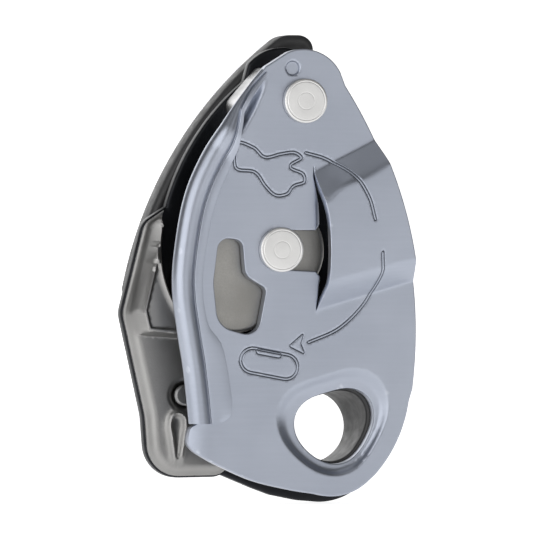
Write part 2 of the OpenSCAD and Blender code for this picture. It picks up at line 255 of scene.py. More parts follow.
class Relief:
    """A sheet or block drawn face on, with a height for each point of its front and of its back."""

    def __init__(self, outers, holes, step, edge, rings, lines=(), near=()):
        self.outers = [resample(l, edge) for l in outers]
        self.holes = [resample(l, edge) for l in holes]
        self.segments = self.boundary()
        points, joins, count = [], [], 0
        for a, b in self.segments:
            k = len(a)
            points += [a, b]
            joins += [(count + i, count + k + i) for i in range(k)]
            count += 2 * k
        for line in lines:
            points.append(line)
            k = len(line)
            joins += [(count + i, count + (i + 1) % k) for i in range(k)]
            count += k
        starts = np.vstack([a for a, _ in self.segments])
        ends = np.vstack([b for _, b in self.segments])
        free = [self.ring_points(rings, starts, ends), self.lattice(step, rings[-1], starts, ends, lines)]
        for loop, offsets in near:
            free.append(self.near_points(loop, offsets, rings[-1], starts, ends))
        points = np.vstack(points + free)
        flat, _, tris, *_ = delaunay_2d_cdt([Vector(p) for p in points], joins, [], 0, 1e-4, False)
        flat = np.array([tuple(p) for p in flat])
        tris = np.array(tris)
        tris = tris[self.region(flat[tris].mean(1))]
        used = np.unique(tris)
        index = np.full(len(flat), -1)
        index[used] = np.arange(len(used))
        self.flat, self.tris = flat[used], index[tris]
        a, b, c = (self.flat[self.tris[:, k]] for k in range(3))
        turned = (b[:, 0] - a[:, 0]) * (c[:, 1] - a[:, 1]) - (b[:, 1] - a[:, 1]) * (c[:, 0] - a[:, 0]) < 0
        self.tris[turned] = self.tris[turned][:, ::-1]
        self.edge = gap(self.flat, starts, ends)
        self.edge[self.edge < 2e-3] = 0

    def region(self, points):
        ok = np.zeros(len(points), bool)
        for loop in self.outers:
            ok |= inside(points, loop)
        for loop in self.holes:
            ok &= ~inside(points, loop)
        return ok

    def boundary(self):
        """The segments of each loop that lie on the rim of the region, as (starts, ends)."""
        found = []
        for loop in self.outers + self.holes:
            is_outer = any(loop is l for l in self.outers)
            a, b = loop, np.roll(loop, -1, axis=0)
            keep = np.zeros(len(loop), bool)
            for p in (a, (a + b) / 2, b):
                ok = np.full(len(p), is_outer)
                for other in self.outers:
                    if other is not loop:
                        ok = ok & ~inside(p, other) if is_outer else ok | inside(p, other)
                for other in self.holes:
                    if other is not loop:
                        ok &= ~inside(p, other)
                keep |= ok
            found.append((a[keep], b[keep]))
        return found

    def ring_points(self, rings, starts, ends):
        out = []
        for (a, b), outer in zip(self.segments, [True] * len(self.outers) + [False] * len(self.holes)):
            loop_area = np.sum(a[:, 0] * b[:, 1] - b[:, 0] * a[:, 1])
            side = (1 if outer else -1) * (1 if loop_area > 0 else -1)
            along = (b - a) / np.linalg.norm(b - a, axis=1)[:, None]
            normal = np.column_stack((-along[:, 1], along[:, 0])) * side
            for k, r in enumerate(rings):
                p = (a + b) / 2 + normal * r if k % 2 else a + normal * r
                p = p[self.region(p)]
                out.append(p[gap(p, starts, ends) > r * 0.97])
        return np.vstack(out)

    def near_points(self, loop, offsets, margin, starts, ends):
        loop = np.asarray(loop)
        normal = side_normals(loop)
        p = np.vstack([loop + normal * o for o in offsets])
        p = p[self.region(p)]
        return p[gap(p, starts, ends) > margin]

    def lattice(self, step, margin, starts, ends, lines):
        every = np.vstack(self.outers)
        lo, hi = every.min(0), every.max(0)
        rows = np.arange(lo[1], hi[1], step * 0.866)
        cols = np.arange(lo[0], hi[0], step)
        u = cols[None, :] + (np.arange(len(rows)) % 2)[:, None] * step / 2
        p = np.column_stack((u.ravel(), np.repeat(rows, len(cols))))
        p = p[self.region(p)]
        p = p[gap(p, starts, ends) > margin * 1.2]
        for line in lines:
            p = p[path_gap(p, line) > step * 0.3]
        return p

    def solid(self, top, bottom, wall=()):
        """Points and faces between the two surfaces.

        wall holds (height, inset) rows from the front to the back. Only the outer rim is inset.
        """
        n = len(self.flat)
        points = [np.column_stack((self.flat, top)), np.column_stack((self.flat, bottom))]
        faces = self.tris.tolist() + (self.tris[:, ::-1] + n).tolist()
        edges = np.vstack((self.tris[:, :2], self.tris[:, 1:], self.tris[:, [2, 0]]))
        known = set(map(tuple, edges.tolist()))
        rim = [(a, b) for a, b in known if (b, a) not in known]
        rim.sort()
        inward = np.zeros((n, 2))
        for a, b in rim:
            d = self.flat[b] - self.flat[a]
            d = np.array((-d[1], d[0])) / max(np.linalg.norm(d), 1e-9)
            inward[a] += d
            inward[b] += d
        ids = sorted({a for a, _ in rim})
        at = {v: k for k, v in enumerate(ids)}
        normal = inward[ids] / np.maximum(np.linalg.norm(inward[ids], axis=1), 1e-9)[:, None]
        if self.holes and wall:
            on_hole = path_gap(self.flat[ids], self.outers[0]) > 0.05
            normal[on_hole] = 0
        rows = [lambda v: v]
        count = 2 * n
        for height, inset in wall:
            points.append(np.column_stack((self.flat[ids] + normal * inset, np.full(len(ids), height))))
            rows.append(lambda v, base=count: base + at[v])
            count += len(ids)
        rows.append(lambda v: v + n)
        for upper, lower in zip(rows, rows[1:]):
            faces += [[upper(b), upper(a), lower(a), lower(b)] for a, b in rim]
        return np.vstack(points), faces


def lathe(centre, profile, n=96):
    """Solid of revolution about the front-to-back axis from (radius, height) points, front first."""
    profile = np.array(profile, float)
    turns = np.radians(np.arange(n) * 360 / n)
    points, rows = [], []
    for r, h in profile:
        if r < 1e-6:
            rows.append([len(points)] * n)
            points.append((centre[0], centre[1], h))
        else:
            rows.append(list(range(len(points), len(points) + n)))
            points += [(centre[0] + r * math.cos(t), centre[1] + r * math.sin(t), h) for t in turns]
    faces = []
    for up, low in zip(rows, rows[1:]):
        for k in range(n):
            q = (k + 1) % n
            face = [up[k], low[k], low[q], up[q]]
            face = [v for i, v in enumerate(face) if v != face[i - 1]]
            if len(face) > 2:
                faces.append(face)
    return np.array(points), faces


def join(*parts):
    points, faces, count = [], [], 0
    for p, f in parts:
        points.append(p)
        faces += [[v + count for v in face] for face in f]
        count += len(p)
    return np.vstack(points), faces


def soften(profile, radii, n=6):
    """Open profile with its inner corners rounded."""
    p = [np.array(q, float) for q in profile]
    out = [p[0][None]]
    for a, b, c, r in zip(p, p[1:], p[2:], radii):
        if r <= 0:
            out.append(b[None])
            continue
        u, v = (a - b) / np.linalg.norm(a - b), (c - b) / np.linalg.norm(c - b)
        half = math.acos(float(np.clip(u @ v, -1, 1))) / 2
        o = b + (u + v) / np.linalg.norm(u + v) * r / math.sin(half)
        a0 = heading(b + u * r / math.tan(half) - o)
        a1 = heading(b + v * r / math.tan(half) - o)
        out.append(arc(o, r, a0, a0 + (a1 - a0 + 180) % 360 - 180, n))
    out.append(p[-1][None])
    return np.vstack(out)


# ---------------------------------------------------------------- materials

class Nodes:
    """A short way to write a node material."""

    def __init__(self, name, metallic, **uniform):
        self.material = bpy.data.materials.new(name)
        self.material.use_nodes = True
        self.tree = self.material.node_tree
        self.shader = self.tree.nodes["Principled BSDF"]
        self.shader.inputs["Metallic"].default_value = metallic
        for key, value in uniform.items():
            self.shader.inputs[key.replace("_", " ")].default_value = value
        self.place = self.add("ShaderNodeTexCoord").outputs["Object"]
        self.bumps = None

    def add(self, kind, inputs=None, **props):
        node = self.tree.nodes.new(kind)
        for key, value in props.items():
            setattr(node, key, value)
        for key, value in (inputs or {}).items():
            if isinstance(value, bpy.types.NodeSocket):
                self.tree.links.new(value, node.inputs[key])
            else:
                node.inputs[key].default_value = value
        return node

    def noise(self, scale, detail=2.0, stretch=(1, 1, 1), roughness=0.5):
        vector = self.place
        if tuple(stretch) != (1, 1, 1):
            vector = self.add("ShaderNodeMapping", {"Vector": vector, "Scale": stretch}).outputs["Vector"]
        node = self.add("ShaderNodeTexNoise", {"Vector": vector, "Scale": scale, "Detail": detail,
                                               "Roughness": roughness})
        return node.outputs["Fac"]

    def spread(self, value, low, high, to_low=0.0, to_high=1.0):
        """The value mapped from one range to another and clamped."""
        return self.add("ShaderNodeMapRange", {"Value": value, "From Min": low, "From Max": high,
                                               "To Min": to_low, "To Max": to_high}).outputs["Result"]

    def mix(self, factor, a, b):
        node = self.add("ShaderNodeMix", data_type="RGBA")
        for k, value in ((0, factor), (6, a), (7, b)):
            if isinstance(value, bpy.types.NodeSocket):
                self.tree.links.new(value, node.inputs[k])
            else:
                node.inputs[k].default_value = value if k == 0 else (*value[:3], 1)
        return node.outputs[2]

    def times(self, a, b):
        return self.add("ShaderNodeMath", {0: a, 1: b}, operation="MULTIPLY").outputs[0]

    def bump(self, height, strength, distance):
        inputs = {"Height": height, "Strength": strength, "Distance": distance}
        if self.bumps is not None:
            inputs["Normal"] = self.bumps
        self.bumps = self.add("ShaderNodeBump", inputs).outputs["Normal"]

    def rim(self, low, high):
        """How strongly a point lies on a convex edge, from 0 to 1."""
        return self.spread(self.add("ShaderNodeNewGeometry").outputs["Pointiness"], low, high)

    def done(self, colour, roughness):
        for key, value in (("Base Color", colour), ("Roughness", roughness)):
            self.tree.links.new(value, self.shader.inputs[key])
        if self.bumps is not None:
            self.tree.links.new(self.bumps, self.shader.inputs["Normal"])
        return self.material


def anodised(name, dark, light, rough, grain, worn, engraved=None):
    """Blasted and anodised sheet: fine grain, faint rolling streaks and slightly bare edges."""
    m = Nodes(name, 1.0)
    cloud = m.noise(45, 3)
    rolled = m.noise(1500, 3, (0.05, 1, 1))
    fine = m.noise(grain, 3, roughness=0.6)
    colour = m.mix(m.spread(cloud, 0.35, 0.65), dark, light)
    colour = m.mix(m.spread(rolled, 0.4, 0.75, 0, 0.22), colour, tuple(min(1, c * 1.1) for c in light))
    edge = m.times(m.rim(0.53, 0.62), m.spread(m.noise(400, 4), 0.35, 0.6))
    colour = m.mix(m.times(edge, 0.4), colour, worn)
    if engraved:
        level = m.add("ShaderNodeAttribute", attribute_name="engraved").outputs["Fac"]
        colour = m.mix(level, colour, engraved)
    m.bump(fine, 0.14, 0.00003)
    m.bump(rolled, 0.05, 0.00003)
    rough_out = m.spread(m.noise(120, 4), 0.3, 0.7, rough - 0.03, rough + 0.04)
    return m.done(colour, rough_out)


def brushed(name, dark, light, rough, stretch, strength):
    """Steel with fine lines across it, stretched along one direction."""
    m = Nodes(name, 1.0)
    lines = m.noise(2600, 4, stretch, 0.65)
    broad = m.noise(500, 3, stretch)
    colour = m.mix(m.spread(lines, 0.3, 0.7), dark, light)
    colour = m.mix(m.times(m.rim(0.52, 0.62), 0.6), colour, tuple(min(1, c * 1.35) for c in light))
    m.bump(lines, strength, 0.00004)
    m.bump(broad, strength * 0.6, 0.00005)
    return m.done(colour, m.spread(broad, 0.3, 0.7, rough - 0.05, rough + 0.07))


def blasted(name, dark, light, rough, scale):
    """Stainless sheet with a fine sandblasted skin, a little darker in its hollows."""
    m = Nodes(name, 1.0)
    skin = m.noise(scale, 4, roughness=0.7)
    cloud = m.noise(70, 3)
    colour = m.mix(m.spread(cloud, 0.3, 0.7), dark, light)
    colour = m.mix(m.spread(skin, 0.35, 0.7, 0, 0.4), colour, dark)
    colour = m.mix(m.times(m.rim(0.51, 0.58), 0.7), colour, tuple(min(1, c * 1.2) for c in light))
    m.bump(skin, 0.35, 0.00004)
    return m.done(colour, m.spread(m.noise(160, 3), 0.3, 0.7, rough - 0.04, rough + 0.06))


RING_PITCH = 0.16


def turned_steel(name, centre, dark, light, rough):
    """Lathe-turned steel: faint rings about a centre, with a satin wear in patches."""
    m = Nodes(name, 1.0)
    moved = m.add("ShaderNodeMapping", {"Vector": m.place, "Location": (-centre[0] * MM, 0, -centre[1] * MM)})
    rings = m.add("ShaderNodeTexWave", {"Vector": moved.outputs["Vector"], "Scale": 1 / (RING_PITCH * 0.02),
                                        "Distortion": 0.6, "Detail": 2.0, "Detail Scale": 1.5},
                  wave_type="RINGS", rings_direction="Y")
    patch = m.noise(220, 4)
    grain = m.noise(5200, 3)
    colour = m.mix(m.spread(patch, 0.3, 0.7), dark, light)
    m.bump(rings.outputs["Fac"], 0.05, 0.00002)
    m.bump(grain, 0.15, 0.00002)
    return m.done(colour, m.spread(patch, 0.3, 0.7, rough - 0.04, rough + 0.05))


def nylon(name, dark, light, rough):
    """Glass-filled nylon: spark-eroded grain, flow marks and polished, paler edges."""
    m = Nodes(name, 0.0, Specular_IOR_Level=0.45)
    grain = m.noise(3000, 3, roughness=0.6)
    cells = m.add("ShaderNodeTexVoronoi", {"Vector": m.place, "Scale": 2600}).outputs["Distance"]
    flow = m.noise(60, 3, (1, 1, 0.4))
    colour = m.mix(m.spread(flow, 0.3, 0.7), dark, light)
    colour = m.mix(m.times(m.rim(0.51, 0.58), 0.5), colour, tuple(c * 2.2 for c in light))
    m.bump(grain, 0.3, 0.00005)
    m.bump(cells, 0.15, 0.00004)
    return m.done(colour, m.spread(m.noise(500, 4), 0.3, 0.7, rough - 0.06, rough + 0.08))


HEAD_TONES = (0.66, 0.655, 0.645), (0.74, 0.735, 0.725)


def make_materials():
    return {
        "satin_aluminium": anodised("satin anodised aluminium", (0.36, 0.388, 0.452), (0.39, 0.418, 0.482),
                                    0.35, 5200, (0.66, 0.69, 0.74), (0.1, 0.11, 0.135)),
        "black_aluminium": anodised("black anodised aluminium", (0.016, 0.017, 0.019), (0.026, 0.027, 0.03),
                                    0.4, 4200, (0.13, 0.135, 0.145)),
        "stainless": blasted("blasted stainless steel", (0.25, 0.247, 0.243), (0.34, 0.336, 0.33), 0.4, 4200),
        "shoe_steel": blasted("polished shoe steel", (0.42, 0.42, 0.425), (0.52, 0.52, 0.525), 0.34, 4600),
        "rivet_steel": blasted("rivet steel", (0.2, 0.2, 0.2), (0.3, 0.3, 0.3), 0.36, 5200),
        "pivot_steel": turned_steel("turned rivet steel", PIVOT, *HEAD_TONES, 0.4),
        "axle_steel": turned_steel("turned axle steel", AXLE, *HEAD_TONES, 0.4),
        "spring_steel": brushed("spring steel", (0.3, 0.3, 0.31), (0.42, 0.42, 0.43), 0.3, (1, 1, 1), 0.1),
        "cam_steel": blasted("cast cam steel", (0.24, 0.235, 0.222), (0.36, 0.352, 0.335), 0.42, 3000),
        "bronze": brushed("sintered bronze", (0.42, 0.27, 0.13), (0.55, 0.37, 0.2), 0.42, (1, 1, 1), 0.2),
        "black_nylon": nylon("black glass-filled nylon", (0.017, 0.017, 0.0175), (0.026, 0.026, 0.027), 0.46),
    }


MATERIALS = make_materials()


# ---------------------------------------------------------------- shared outlines

BEAD_R = 2.35
HEM = (19.8, 32.2)
HEM_R = 55.5
RIGHT_EDGE, RIGHT_EDGE_R = (-76.6, 20.5), 95.0
CAM_KEEP_OUT = 23.1
CAM_R = 10.9
# The rivets' shanks and holes, and where the cam's pins sit
SHANK_R = 3.94
PIN_HOLE_R = 3.97
PIVOT_HOLE_R = 4.05
AXLE_SLOT_R = 4.15
SMALL_SHANK_R = 1.5
SMALL_HOLE_R = 1.52
DRIVE_PIN_AT, DRIVE_PIN_ANGLE = 8.9, 250
STOP_PIN_AT = 14
PIN_SLOT_WIDTH = 3.4
WING_INSET = 0.4
COLLAR_REACH = 7.8
GUIDE_RIVETS = [(-29.3, 6.8), (-21.5, -3.2)]
LEVER_RIVETS = [(-17.4, 53.4), (-19.3, 60.2)]
DIMPLE = (-9.1, 76.6)
DIMPLE_R = 1.62
DIMPLE_DEPTH = 0.5
GROOVE_DEPTH = 0.12


def rounded_triangle(c, r, oval, oval_at, tri, tri_at, n=144):
    """Smooth loop: a circle that is drawn out along one direction and into three soft corners."""
    a = np.arange(n) * 360 / n
    reach = r + oval * np.cos(np.radians(2 * (a - oval_at))) + tri * np.cos(np.radians(3 * (a - tri_at)))
    return np.column_stack((c[0] + reach * np.cos(np.radians(a)), c[1] + reach * np.sin(np.radians(a))))


EYE = rounded_triangle((0.75, 0.5), 8.3, 0.62, 23, 0.54, 42)
DISH = rounded_triangle((0.0, 1.5), 11.75, 0.95, 26, 0.95, 42)
COLLAR_SEAT = band([(-2.4, 0.2), (0.2, -1.7), (3.2, 2.0)], COLLAR_REACH, 48)
GUIDE = rounded([(-27.5, 50.2), (-37.6, 43.6), (-42.5, 24.4), (-37.6, 2.5), (-36.6, -10.6), (-19.5, -10.4),
                 (-15.5, 5), (-24, 15), (-30, 24)], [2, 4, 5, 12, 7, 4, 5, 6, 6])
BLOCK_LOOP = rounded([(-31, 47.3), (-36.6, 43.2), (-40.9, 25), (-39.6, 19.7), (-28, 18.8), (-28, 44)],
                     [2, 3, 2.5, 2, 1, 1])
SHOE = rounded([(-12.8, 77.2), (-19.7, 69.4), (-19, 65.6), (-19.6, 57.2), (-14, 55.6), (-12.6, 62),
                (-12.6, 72), (-10.6, 76.2)], [1, 2.4, 8, 2, 2, 4, 4, 0.8])
WINDOW = rounded([(-25.4, 40.6), (-26.6, 31), (-25.6, 21.6), (-16.9, 19.2), (-14.9, 29.6), (-19.6, 32.4),
                  (-20.2, 39.9)], [2.4, 8, 4.5, 3.2, 1.6, 3, 2])


def grip_outline():
    """The grip: one long arc on the outside, with a short tab at its top."""
    outside = arc((48.5, 12.5), 89.8, 129, 169, 60)
    rest = rounded([outside[0], outside[-1], (-38.8, 18.5), (-25, 22), (-10, 25.4), (1.5, 31), (0.5, 48),
                    (-3.5, 60), (1.7, 76.5), (1.7, 84.4), (-5.4, 84.4)],
                   [0.1, 0.1, 5, 10, 14, 9, 14, 12, 3, 3.2, 5])
    # The first two corners are the arc's ends, and rounded() gives each corner this many points
    corner = 11
    return np.vstack((outside, rest[2 * corner:]))


GRIP = grip_outline()


# ---------------------------------------------------------------- moving side plate

# Where the sheet is sheared: the plate's own edge, and the raised arch's free edge, both from the top down
SHEAR = [(-4.4, 55.3), (-4.5, 53.6), (-3.85, 50.5), (-3.25, 47.8), (-3.0, 45.4), (-2.9, 43.5)]
SHEAR_LOW = [(-3.0, 32.2), (-3.3, 30.4), (-3.5, 28.0), (-3.8, 26.0), (-3.85, 24.9)]
ARCH_EDGE = [(-4.4, 55.3), (-4.3, 53.7), (-3.6, 50.5), (-3.0, 47.8), (-2.4, 45.4), (-2.1, 43.1), (-1.9, 38.9),
             (-1.9, 36.0), (-2.1, 32.4), (-2.45, 30.4), (-3.1, 28.0), (-3.6, 26.0), (-3.85, 24.9)]
SHEAR_ROLL = 1.5
# The hem's outer edge, from the bottom up
HEM_LINE = smooth_path([(-31.9, -1.4), (-32.0, 0.9), (-33.2, 11.9), (-34.5, 20), (-35.6, 28.1),
                        (-35.4, 36.3), (-33.25, 48.5), (-29.4, 57.8), (-23.6, 66.8), (-19.0, 72.7),
                        (-15.6, 76.6), (-14.2, 78.2)])
HEM_END = 0.95
HEM_TOP = 76.4
BEAD_END_R = 0.55
# Width of the hem's flat flange, from the groove beside the bead, as (height, width) from the bottom up
FLANGE = [(0.95, 1.2), (1.15, 2.4), (1.5, 3.2), (2.6, 4.6), (4.0, 5.0), (5.6, 5.1), (10, 4.9), (14, 4.7),
          (16.5, 4.3), (18, 3.6), (20, 2.4), (21.8, 2.0), (26, 1.85), (34, 1.95), (42, 2.1), (52, 2.2),
          (58, 2.1), (62, 1.6), (66, 1.15), (72, 1.1), (78, 0.9)]
# The arch's folds, lower to upper: each one's height at ARCH_LEFT, and its rise from there over ARCH_WIDE
ARCH_LEFT, ARCH_WIDE = -8, 33
FOLD_LOW, RIDGE_LOW, RIDGE_UP, FOLD_UP = (23.8, 9.6), (29, 8.6), (44.8, 20.1), (52.7, 16.7)
ARCH_CROWN = 0.14


def slot_loop():
    """The axle slot, its chamfered mouth and the crescent gap along the arch, as one opening."""
    back = smooth_path(ARCH_EDGE[::-1])
    mouth = 4.0
    return np.vstack((SHEAR, [(-mouth, 42.05)], arc(AXLE, AXLE_SLOT_R, 90, 270, 24), [(-mouth, 33.3)],
                      SHEAR_LOW, back[1:-1]))


def plate_outline():
    v = np.concatenate((np.linspace(76.2, 60, 30), np.linspace(59, 1.0, 90)))
    inset = 0.3 + (BEAD_R - 0.3) * ease((75 - v) / 9)
    left = [at + inward * d for (at, inward), d in zip(map(hem_station, v), inset)]
    return np.vstack((
        arc((-12.2, 9.8), 29.3, -43, -8.5), arc(RIGHT_EDGE, RIGHT_EDGE_R, -7.5, 33.5),
        arc((-6.6, 71.5), 9.2, 28, 112), [(-15.0, 76.95)], left,
        smooth_path([(-30.3, 0.8), (-31.5, -0.2), (-31.9, -2.8), (-31.0, -4.6), (-28.6, -6.3), (-25.2, -8.1),
                     (-17.7, -11.3), (-9.5, -13.3), (-3.6, -14.25)]),
        arc((-0.4, -2.7), 12, 257, 314)))


def rope_marks():
    """Engraved signs of the builder's own: the rope's way round the cam, a glove and a snap link."""
    wide, step = 0.55, 0.33
    upper = stroke(smooth_path([(-6.2, 58.6), (-1.5, 57.2), (3.4, 54.0), (6.6, 49.2), (8.0, 44.4)]), wide)
    lower = stroke(smooth_path([(9.7, 37.4), (9.5, 32.0), (6.7, 26.4), (1.2, 21.2), (-5.6, 18.2)]), wide)
    arrow = rounded([(-6.3, 15.6), (-10.0, 17.4), (-6.5, 20.4), (-7.3, 18.0)], [0.2, 0.3, 0.2, 0.2], 4)
    glove = smooth_path([(-21.6, 60.8), (-17.6, 59.9), (-15.2, 57.9), (-11.8, 58.6), (-8.6, 58.9),
                         (-6.9, 57.4), (-9.4, 55.7), (-6.6, 54.3), (-6.3, 52.2), (-8.7, 51.3),
                         (-10.2, 49.6), (-13.0, 49.3), (-15.4, 51.4), (-17.6, 54.2), (-21.9, 55.2)], True, 8)
    glove_edge = offset_path(resample(glove, step), -wide)
    link, link_r = [(-18.0, 14.4), (-10.6, 13.0)], 2.9
    gate = stroke([(-16.6, 16.3), (-12.2, 15.5)], 1.2)
    loops = [upper, lower, arrow, glove, glove_edge, band(link, link_r, 12), band(link, link_r - wide, 12),
             gate]
    return [resample(loop, step) for loop in loops]


def arch_rise(p):
    """Height of the raised arch above the plate, right of its free edge."""
    u, v = p[:, 0], p[:, 1]
    share = (u - ARCH_LEFT) / ARCH_WIDE
    folds = (FOLD_LOW, RIDGE_LOW, RIDGE_UP, FOLD_UP)
    fold_low, ridge_low, ridge_up, fold_up = (at + climb * share for at, climb in folds)
    ridge_up = ridge_up + 1.3 * np.exp(-((u - 1.2) / 3.4) ** 2)
    low = (v - fold_low) / (ridge_low - fold_low)
    up = (fold_up - v) / (fold_up - ridge_up)
    t = soft_min(soft_min(low, up, 0.05), np.ones_like(u) * 1.02, 0.07)
    t = 0.022 * np.log1p(np.exp(np.clip(t / 0.022, -60, 60)))
    edge_v = np.array([q[1] for q in ARCH_EDGE[::-1]])
    edge_u = np.array([q[0] for q in ARCH_EDGE[::-1]])
    middle = np.interp(v, edge_v, edge_u) - 0.06
    crown = ARCH_CROWN * np.sin(np.pi * np.clip((v - ridge_low) / (ridge_up - ridge_low), 0, 1))
    rise = np.where(u > middle, ARCH_RISE * np.minimum(t, 1) + crown * (t > 0.5), 0)
    roll = np.clip(u - SHEAR[0][0] - 0.1, 0, SHEAR_ROLL - 0.05)
    rolled = (u <= middle) & (v > 40)
    return rise, (SHEAR_ROLL - np.sqrt(SHEAR_ROLL ** 2 - roll ** 2)) * rolled


def plate_face(p, edge, lines):
    """Heights of the plate's two surfaces, and how deeply each point is engraved."""
    u, v = p[:, 0], p[:, 1]
    arch, roll = arch_rise(p)
    h = FACE + arch - roll
    to_hole, to_outer = path_gap(p, EYE), depth_in(p, DISH)
    share = np.clip(to_outer, 0, None) / np.maximum(np.clip(to_outer, 0, None) + to_hole, 1e-6)
    h -= DISH_DEPTH * (0.75 * ease(share / 0.6) + 0.25 * share) * (to_outer > 0)
    from_dimple = np.hypot(u - DIMPLE[0], v - DIMPLE[1])
    h -= DIMPLE_DEPTH * ease((DIMPLE_R - from_dimple) / 0.3)
    lip = np.clip(-26.4 - u, 0, None)
    h -= (0.035 * lip ** 2 + 0.05 * lip) * ease((3.2 - v) / 3.4)
    pocket = np.hypot((u + 19.2 + (v - 67.6) * -0.52) / 1.55, (v - 67.6) / 7.2)
    h -= 1.5 * ease(1.15 - pocket)
    groove = np.full(len(p), np.inf)
    for line in lines:
        groove = np.minimum(groove, path_gap(p, line))
    h -= GROOVE_DEPTH * np.clip(1 - groove / GROOVE_HALF, 0, 1)
    engraved = np.clip(1.5 * (1 - groove / GROOVE_HALF), 0, 1)
    sheet = PLATE_T - (PLATE_T - ARCH_T) * np.clip(arch / ARCH_RISE, 0, 1)
    return h - edge_drop(edge, EDGE_R), h - sheet, engraved


def moving_plate():
    marks = rope_marks()
    near = [(line, (-GROOVE_HALF, -0.07, 0.07, GROOVE_HALF)) for line in marks]
    near += [(DISH, (-0.5, -0.25, 0, 0.25, 0.5)), (circle(DIMPLE, 1.45, 48), (-0.2, -0.05, 0.1, 0.25)),
             (resample(np.vstack((SHEAR, SHEAR[::-1])), 0.3), (-0.5, -0.2, 0.2, 0.5, 0.8, 1.1))]
    for low, high in (((-3.3, 25.3), (17.6, 31.3)), ((-3.5, 55.1), (9.5, 61.6))):
        fold = resample([low, high, low], 0.35)
        near.append((fold, (-0.4, -0.2, 0, 0.2, 0.4)))
    shape = Relief([plate_outline()], [slot_loop(), WINDOW, EYE, circle(PIVOT, PIVOT_HOLE_R, 64)],
                   step=0.58, edge=0.32, rings=(0.04, 0.09, 0.15, 0.22, 0.36, 0.6), lines=marks, near=near)
    top, under, engraved = plate_face(shape.flat, shape.edge, marks)
    under = np.minimum(under, top - 0.8)
    points, faces = shape.solid(top, under + edge_drop(shape.edge, EDGE_R))
    mesh_piece("front_plate_sheet", points, faces, "side_plate", "satin_aluminium", ["moving_side_plate"],
               marks=engraved)


def hem_station(v):
    """Point of the plate's outer left edge at the height v, and the unit vector towards its inside."""
    k = int(np.clip(np.searchsorted(HEM_LINE[:, 1], v), 1, len(HEM_LINE) - 1))
    along = HEM_LINE[min(k + 2, len(HEM_LINE) - 1)] - HEM_LINE[max(k - 3, 0)]
    inward = np.array((along[1], -along[0])) / np.linalg.norm(along)
    return np.array((np.interp(v, HEM_LINE[:, 1], HEM_LINE[:, 0]), v)), inward


def hem():
    """The rolled hem: a bead that unrolls into an upturned lip at the top, and its flat flange."""
    stations = np.concatenate((np.linspace(HEM_END, 1.2, 4), np.linspace(1.5, 7, 22),
                               np.linspace(7.3, 60, 120), np.linspace(60.3, HEM_TOP, 60)))
    points, n = [], 0
    for v in stations:
        outer, inward = hem_station(v)
        square = ease((v - HEM_END) / 8)
        inward = inward * square + np.array((1.0, 0.0)) * (1 - square)
        roll = 1 - ease((v - 61.0) / 12.5)
        r = BEAD_END_R + (BEAD_R - BEAD_END_R) * roll ** 1.15
        mid_h = FACE - 0.15 + 0.9 * ease((v - 60) / 5) * ease((HEM_TOP - v) / 8) - (BEAD_R - r) * 0.35
        lift = 0.55 + 1.2 * ease((v - 59.5) / 5.5) * ease((77.2 - v) / 7.5)
        top = FACE + lift
        width = float(np.interp(v, *zip(*FLANGE)))
        meet = max(min((top - 0.42 - mid_h) / r, 0.92), 0.02)
        start = math.degrees(math.asin(meet))
        groove = r + r * math.cos(math.radians(start))
        far = groove + width
        section = [(far, FACE - 0.55), (far, top - 0.12), (far - 0.04, top - 0.03), (far - 0.12, top),
                   (far - width * 0.5, top + 0.01), (groove + 0.3, top), (groove + 0.2, top - 0.05),
                   (groove + 0.15, top - 0.4)]
        for a in np.linspace(start, 330, 44):
            section.append((r + r * math.cos(math.radians(a)), mid_h + r * math.sin(math.radians(a))))
        n = len(section)
        for across, h in section:
            at = outer + inward * across
            points.append((at[0], at[1], h))
    rows = len(stations)
    faces = [[k * n + i, k * n + (i + 1) % n, (k + 1) * n + (i + 1) % n, (k + 1) * n + i]
             for k in range(rows - 1) for i in range(n)]
    faces += [list(range(n))[::-1], [(rows - 1) * n + i for i in range(n)]]
    mesh_piece("front_plate_hem", points, faces, "side_plate", "satin_aluminium", ["moving_side_plate"],
               sharp=40, marks=[])


# ---------------------------------------------------------------- fixed frame

def fixed_plate():
    outline = np.vstack((
        arc(RIGHT_EDGE, RIGHT_EDGE_R - 0.5, -10, 33), arc((-6.6, 71.5), 10, 28, 140),
        arc(HEM, HEM_R - 0.8, 130, 167.5),
        [(-30, 20), (-29.5, -8.4), (-20.4, -10.4), (-13.7, -13.2), (-9.4, -14.8), (-3.5, -16)],
        arc((1.6, -2.4), 14, 268, 340)))
    wing = offset_path(resample(GUIDE, 0.5), -WING_INSET)
    pins = [circle(PIVOT, PIN_HOLE_R, 48), circle(AXLE, PIN_HOLE_R, 48)]
    slot = stroke(arc(AXLE, DRIVE_PIN_AT, 187, 253, 24), PIN_SLOT_WIDTH)
    shape = Relief([outline, wing], pins + [slot, COLLAR_SEAT], step=1.1, edge=0.5,
                   rings=(0.05, 0.13, 0.24, 0.37, 0.6, 1.0))
    top = INNER_BACK - edge_drop(shape.edge, 0.5)
    under = BACK_FACE + edge_drop(shape.edge, 0.5)
    points, faces = shape.solid(top, under)
    mesh_piece("back_plate_sheet", points, faces, "back_frame", "black_aluminium", ["fixed_side_plate"])


def polar_loop(loop, centre, n=144):
    """The same star-shaped loop with n points at even angles."""
    d = np.asarray(loop) - centre
    a = np.degrees(np.arctan2(d[:, 1], d[:, 0])) % 360
    order = np.argsort(a)
    angles = np.arange(n) * 360 / n
    reach = np.interp(angles, a[order], np.hypot(d[:, 0], d[:, 1])[order], period=360)
    return np.column_stack((centre[0] + reach * np.cos(np.radians(angles)),
                            centre[1] + reach * np.sin(np.radians(angles))))


